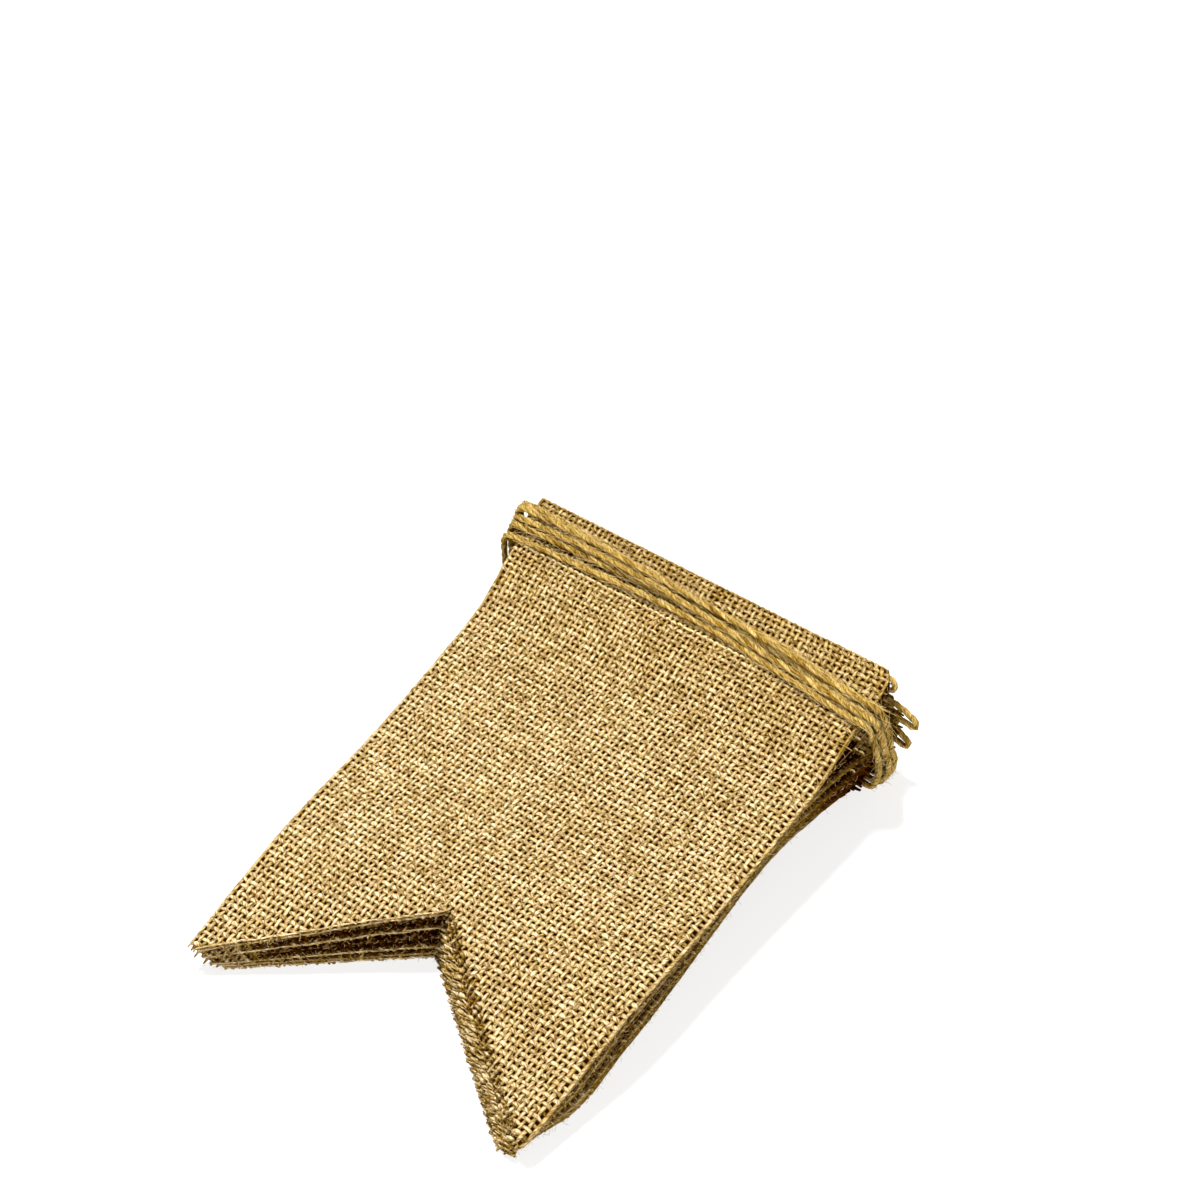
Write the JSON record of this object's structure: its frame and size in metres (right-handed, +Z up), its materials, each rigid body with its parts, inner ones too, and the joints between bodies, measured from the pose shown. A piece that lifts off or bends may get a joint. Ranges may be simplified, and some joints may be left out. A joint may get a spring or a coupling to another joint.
{
  "type": "burlap bunting, folded and tied",
  "caption": "Swallowtail burlap flags strung on jute cord through sewn sleeves, stacked flat one on another and bound at the sleeves with the cord's free length.",
  "frame": {"origin": "centre of the underside of the box round the flags, on the surface that the stack lies on", "axes": "+Y from the flags' tips to their header folds, +X across the flags, +Z up from the surface"},
  "size_m": [0.1543, 0.1912, 0.0481],
  "materials": {
    "burlap": "coarse plain weave in natural straw colour, matt",
    "jute": "twisted natural jute, matt and hairy"
  },
  "bodies": {
    "root": {"flag_1": "burlap", "flag_2": "burlap", "flag_3": "burlap", "flag_4": "burlap", "flag_5": "burlap", "flag_6": "burlap", "flag_7": "burlap", "flag_8": "burlap", "strung_cord": "jute", "wound_cord": "jute"}
  },
  "joints": []
}
